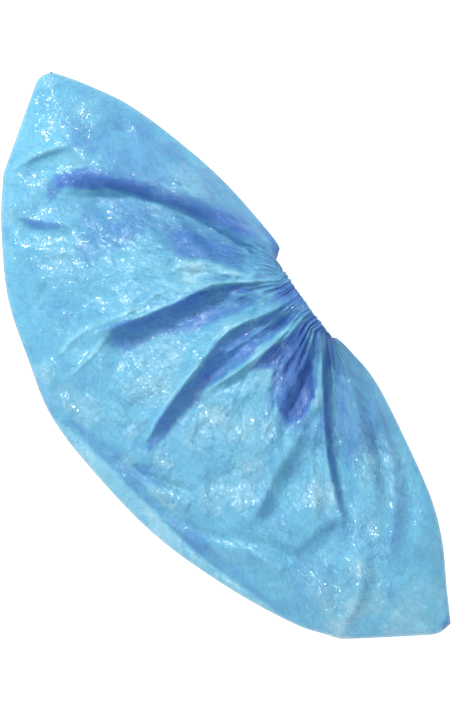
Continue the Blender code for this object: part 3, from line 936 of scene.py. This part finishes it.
def build_film(material):
    """The bag. At the sole fold, FINENESS columns of the front wall meet one of the back wall."""
    *rings, fold = [*hem_rings(), *wall_rings()]
    shape = bmesh.new()
    flat = shape.verts.layers.float_vector.new("flat")
    shade = shape.verts.layers.float.new("shade")
    fine = shape.verts.layers.float.new("crinkle")

    def add_point(point):
        corner = shape.verts.new(to_metres(point))
        corner[flat] = (point[3], point[4], 0)
        corner[shade] = point[5]
        corner[fine] = point[6]
        return corner

    rows = [[add_point(point) for point in ring] for ring in rings]
    fold = [add_point(point) for point in fold[: FRONT_COLUMNS + 1]]
    for upper, lower in zip(rows, rows[1:]):
        for column in range(COLUMNS):
            after = (column + 1) % COLUMNS
            shape.faces.new((upper[column], upper[after], lower[after], lower[column]))
    last = rows[-1]
    for column in range(FRONT_COLUMNS):
        shape.faces.new((last[column], last[column + 1], fold[column + 1], fold[column]))
    for column in range(BACK_COLUMNS):
        first = FRONT_COLUMNS + column
        end = FRONT_COLUMNS - FINENESS * column
        along = fold[end - FINENESS : end + 1]
        shape.faces.new((last[first], last[(first + 1) % COLUMNS], *along))
    bmesh.ops.recalc_face_normals(shape, faces=shape.faces)
    mesh = bpy.data.meshes.new("film")
    shape.to_mesh(mesh)
    shape.free()
    mesh.shade_smooth()
    film = bpy.data.objects.new("film", mesh)
    bpy.context.scene.collection.objects.link(film)
    film.data.materials.append(material)
    wall = film.modifiers.new("thickness", "SOLIDIFY")
    wall.thickness = FILM * MM
    wall.offset = -1
    return film


class Graph:
    """Short calls for adding the nodes of one material."""

    def __init__(self, name):
        self.material = bpy.data.materials.new(name)
        self.material.use_nodes = True
        self.nodes = self.material.node_tree.nodes
        self.links = self.material.node_tree.links
        self.shader = self.nodes["Principled BSDF"]

    def put(self, socket, value):
        if isinstance(value, bpy.types.NodeSocket):
            self.links.new(value, socket)
        else:
            socket.default_value = value

    def math(self, operation, *values):
        node = self.nodes.new("ShaderNodeMath")
        node.operation = operation
        for socket, value in zip(node.inputs, values):
            self.put(socket, value)
        return node.outputs[0]

    def vector(self, operation, *values, scale=None):
        node = self.nodes.new("ShaderNodeVectorMath")
        node.operation = operation
        for socket, value in zip(node.inputs, values):
            self.put(socket, value)
        if scale is not None:
            self.put(node.inputs["Scale"], scale)
        return node.outputs["Value" if operation == "DOT_PRODUCT" else "Vector"]

    def attribute(self, name):
        node = self.nodes.new("ShaderNodeAttribute")
        node.attribute_name = name
        return node

    def noise(self, place, scale, detail, kind="FBM"):
        node = self.nodes.new("ShaderNodeTexNoise")
        node.noise_type = kind
        node.inputs["Scale"].default_value = scale
        node.inputs["Detail"].default_value = detail
        self.links.new(place, node.inputs["Vector"])
        return node

    def cells(self, place, scale, feature="F1"):
        """Cells about 1 / scale across."""
        node = self.nodes.new("ShaderNodeTexVoronoi")
        node.voronoi_dimensions = "2D"
        node.feature = feature
        node.inputs["Scale"].default_value = scale
        self.links.new(place, node.inputs["Vector"])
        return node

    def clamp(self, value):
        node = self.nodes.new("ShaderNodeClamp")
        self.links.new(value, node.inputs["Value"])
        return node.outputs[0]

    def facets(self, place, scale):
        """Height of flat facets, one in each cell, each tilted its own way."""
        cells = self.cells(place, scale)
        over = self.vector("SUBTRACT", place, cells.outputs["Position"])
        tilt = self.vector("SUBTRACT", cells.outputs["Color"], (0.5, 0.5, 0.5))
        return self.vector("DOT_PRODUCT", over, tilt)

    def facet_shade(self, place, scale):
        """A random value around 0 for each flat facet: painted shade, lighter or darker as its tilt would
        light it.
        """
        cells = self.cells(place, scale)
        value = self.vector("SUBTRACT", cells.outputs["Color"], (0.5, 0.5, 0.5))
        return self.vector("DOT_PRODUCT", value, (1, 0.6, 0))

    def crease_lines(self, place, scale):
        """1 on some of the thin lines between facets, 0 elsewhere."""
        away = self.cells(place, scale, "DISTANCE_TO_EDGE").outputs["Distance"]
        line = self.math("SUBTRACT", 1.0, self.math("DIVIDE", away, 0.4 * scale))
        some = self.math("SUBTRACT", self.noise(place, 0.6 * scale, 1.0).outputs["Fac"], 0.5)
        some = self.math("MULTIPLY", some, 9.0)
        return self.math("MULTIPLY", self.clamp(line), self.clamp(some))

    def bump(self, height, distance):
        node = self.nodes.new("ShaderNodeBump")
        node.inputs["Strength"].default_value = 1.0
        node.inputs["Distance"].default_value = distance
        self.links.new(height, node.inputs["Height"])
        return node.outputs["Normal"]

    def ramp(self, value, *stops):
        node = self.nodes.new("ShaderNodeValToRGB")
        self.links.new(value, node.inputs["Fac"])
        elements = node.color_ramp.elements
        for element, (position, colour) in zip(elements, (stops[0], stops[-1])):
            element.position = position
            element.color = (*colour, 1)
        for position, colour in stops[1:-1]:
            elements.new(position).color = (*colour, 1)
        return node.outputs["Color"]


def film_material():
    """Thin blue film: its painted shade sets the blue, and its crinkle how much it glints."""
    graph = Graph("film")
    place = graph.attribute("flat").outputs["Vector"]
    warp = graph.noise(place, WARP_SCALE, 2.0).outputs["Color"]
    place = graph.vector("ADD", place, graph.vector("SCALE", warp, scale=6.0))
    fine = graph.attribute("crinkle").outputs["Fac"]
    creases = graph.crease_lines(place, CREASE_SCALE)
    fine_creases = graph.crease_lines(place, FINE_CREASE_SCALE)
    lines = graph.math("ADD", creases, graph.math("MULTIPLY", fine_creases, fine))

    # Relief, softer for the film's own surface than for its gloss
    facets = graph.math("MULTIPLY", graph.facets(place, FACET_SCALE), 0.60)
    fine_facets = graph.math("MULTIPLY", graph.facets(place, FINE_FACET_SCALE), 0.45)
    grain = graph.math("MULTIPLY", graph.noise(place, GRAIN_SCALE, 1.0).outputs["Fac"], 0.30)
    rough = graph.math("ADD", graph.math("ADD", facets, fine_facets), grain)
    wrinkles = graph.noise(place, WRINKLE_SCALE, 3.0, "RIDGED_MULTIFRACTAL").outputs["Fac"]
    wrinkles = graph.math("MULTIPLY", wrinkles, 0.60)
    wrinkles = graph.math("SUBTRACT", wrinkles, graph.math("MULTIPLY", lines, 0.20))
    soft_height = graph.math("ADD", graph.math("MULTIPLY", rough, 0.45), wrinkles)
    tilted = graph.math("MINIMUM", graph.math("POWER", fine, 1.3), 0.85)
    height = graph.math("ADD", graph.math("MULTIPLY", rough, tilted), wrinkles)

    # Colour, from the painted shade, some mottling, the facets' painted shade and painted shade along the
    # crease lines
    depth = graph.attribute("shade").outputs["Fac"]
    mottle = graph.math("SUBTRACT", graph.noise(place, MOTTLE_SCALE, 5.0).outputs["Fac"], 0.5)
    for part, share in (
        (mottle, 0.16),
        (graph.facet_shade(place, WIDE_FACET_SHADE_SCALE), 0.08),
        (graph.facet_shade(place, FACET_SHADE_SCALE), 0.07),
        # Painted shade along the crease lines
        (lines, 0.08),
    ):
        depth = graph.math("ADD", depth, graph.math("MULTIPLY", part, share))
    colour = graph.ramp(
        depth,
        (0.0, (0.390, 0.740, 0.870)),
        (0.12, (0.255, 0.630, 0.790)),
        (0.25, (0.185, 0.560, 0.755)),
        (0.45, (0.140, 0.385, 0.660)),
        (0.70, (0.100, 0.268, 0.660)),
        (1.0, (0.060, 0.155, 0.470)),
    )
    shader = graph.shader.inputs
    graph.put(shader["Base Color"], colour)
    graph.put(shader["Normal"], graph.bump(soft_height, 0.6 * MM))
    shader["Roughness"].default_value = 0.35
    shader["IOR"].default_value = 1.5
    shader["Specular IOR Level"].default_value = 0.25
    gloss = graph.math("SUBTRACT", graph.math("MULTIPLY", fine, 1.5), 0.48)
    graph.put(shader["Coat Weight"], graph.math("MINIMUM", gloss, 1.0))
    shader["Coat IOR"].default_value = 2.0
    shader["Coat Roughness"].default_value = 0.10
    graph.put(shader["Coat Normal"], graph.bump(height, 1.2 * MM))
    glow = graph.nodes.new("ShaderNodeBsdfTranslucent")
    graph.put(glow.inputs["Color"], colour)
    mix = graph.nodes.new("ShaderNodeMixShader")
    mix.inputs["Fac"].default_value = 0.22
    graph.links.new(graph.shader.outputs[0], mix.inputs[1])
    graph.links.new(glow.outputs[0], mix.inputs[2])
    graph.links.new(mix.outputs[0], graph.nodes["Material Output"].inputs["Surface"])
    return graph.material


def elastic_material():
    """Pale rubber cord with the marks of its windings."""
    graph = Graph("elastic")
    place = graph.nodes.new("ShaderNodeTexCoord").outputs["Object"]
    place = graph.vector("SCALE", place, scale=1 / MM)
    waves = graph.nodes.new("ShaderNodeTexWave")
    waves.inputs["Scale"].default_value = 0.9
    waves.inputs["Distortion"].default_value = 1.5
    graph.links.new(place, waves.inputs["Vector"])
    colour = graph.ramp(waves.outputs["Fac"], (0.0, (0.42, 0.60, 0.76)), (1.0, (0.74, 0.83, 0.90)))
    graph.put(graph.shader.inputs["Base Color"], colour)
    graph.put(graph.shader.inputs["Normal"], graph.bump(waves.outputs["Fac"], 0.1 * MM))
    graph.shader.inputs["Roughness"].default_value = 0.6
    return graph.material


def camera():
    """The photo's view: from straight above, rolled so that the toe tip is at the upper left."""
    data = bpy.data.cameras.new("camera")
    data.sensor_fit = "VERTICAL"
    data.sensor_height = SENSOR
    data.lens = SENSOR * CAMERA_DISTANCE / (PHOTO_HEIGHT * PIXEL * MM)
    data.clip_end = 50
    view = bpy.data.objects.new("camera", data)
    bpy.context.scene.collection.objects.link(view)
    turn = Matrix((PHOTO_RIGHT, PHOTO_UP, PHOTO_RIGHT.cross(PHOTO_UP))).transposed()
    above = Vector(to_metres(PHOTO_MIDDLE)) + Vector((0, 0, CAMERA_DISTANCE))
    view.matrix_world = Matrix.Translation(above) @ turn.to_4x4()
    bpy.context.scene.camera = view


def area_light(name, place, size, power):
    """A round light that faces the frame's origin."""
    data = bpy.data.lights.new(name, "AREA")
    data.shape = "DISK"
    data.size = size
    data.energy = power
    light = bpy.data.objects.new(name, data)
    light.location = place
    light.rotation_euler = Vector(place).to_track_quat("Z", "Y").to_euler()
    bpy.context.scene.collection.objects.link(light)


def studio():
    """A floor that glows as in an overlit product photo, and three lights.

    The key light stands on the toe's side, and the other two make the glints.
    """
    scene = bpy.context.scene
    scene.view_settings.view_transform = "Standard"
    world = bpy.data.worlds.new("studio")
    world.use_nodes = True
    sky = world.node_tree.nodes["Background"].inputs
    sky["Color"].default_value = (0.86, 0.97, 1.15, 1)
    sky["Strength"].default_value = 0.53
    scene.world = world
    area_light("key", (-1.45, -0.10, 1.45), 0.40, 30)
    area_light("gloss", (-0.75, 0.10, 1.90), 0.70, 7)
    area_light("far gloss", (0.45, -0.25, 1.95), 0.70, 6)
    mesh = bpy.data.meshes.new("floor")
    mesh.from_pydata([(-4, -4, 0), (4, -4, 0), (4, 4, 0), (-4, 4, 0)], [], [(0, 1, 2, 3)])
    floor = bpy.data.objects.new("floor", mesh)
    scene.collection.objects.link(floor)
    graph = Graph("floor")
    shader = graph.shader.inputs
    shader["Base Color"].default_value = (0.5, 0.5, 0.5, 1)
    shader["Roughness"].default_value = 1.0
    shader["Emission Color"].default_value = (1, 1, 1, 1)
    shader["Emission Strength"].default_value = 0.9
    mesh.materials.append(graph.material)


camera()
studio()
film = build_film(film_material())
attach(film, "root")
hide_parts("film_body")
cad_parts["elastic_band"].material_slots[0].material = elastic_material()
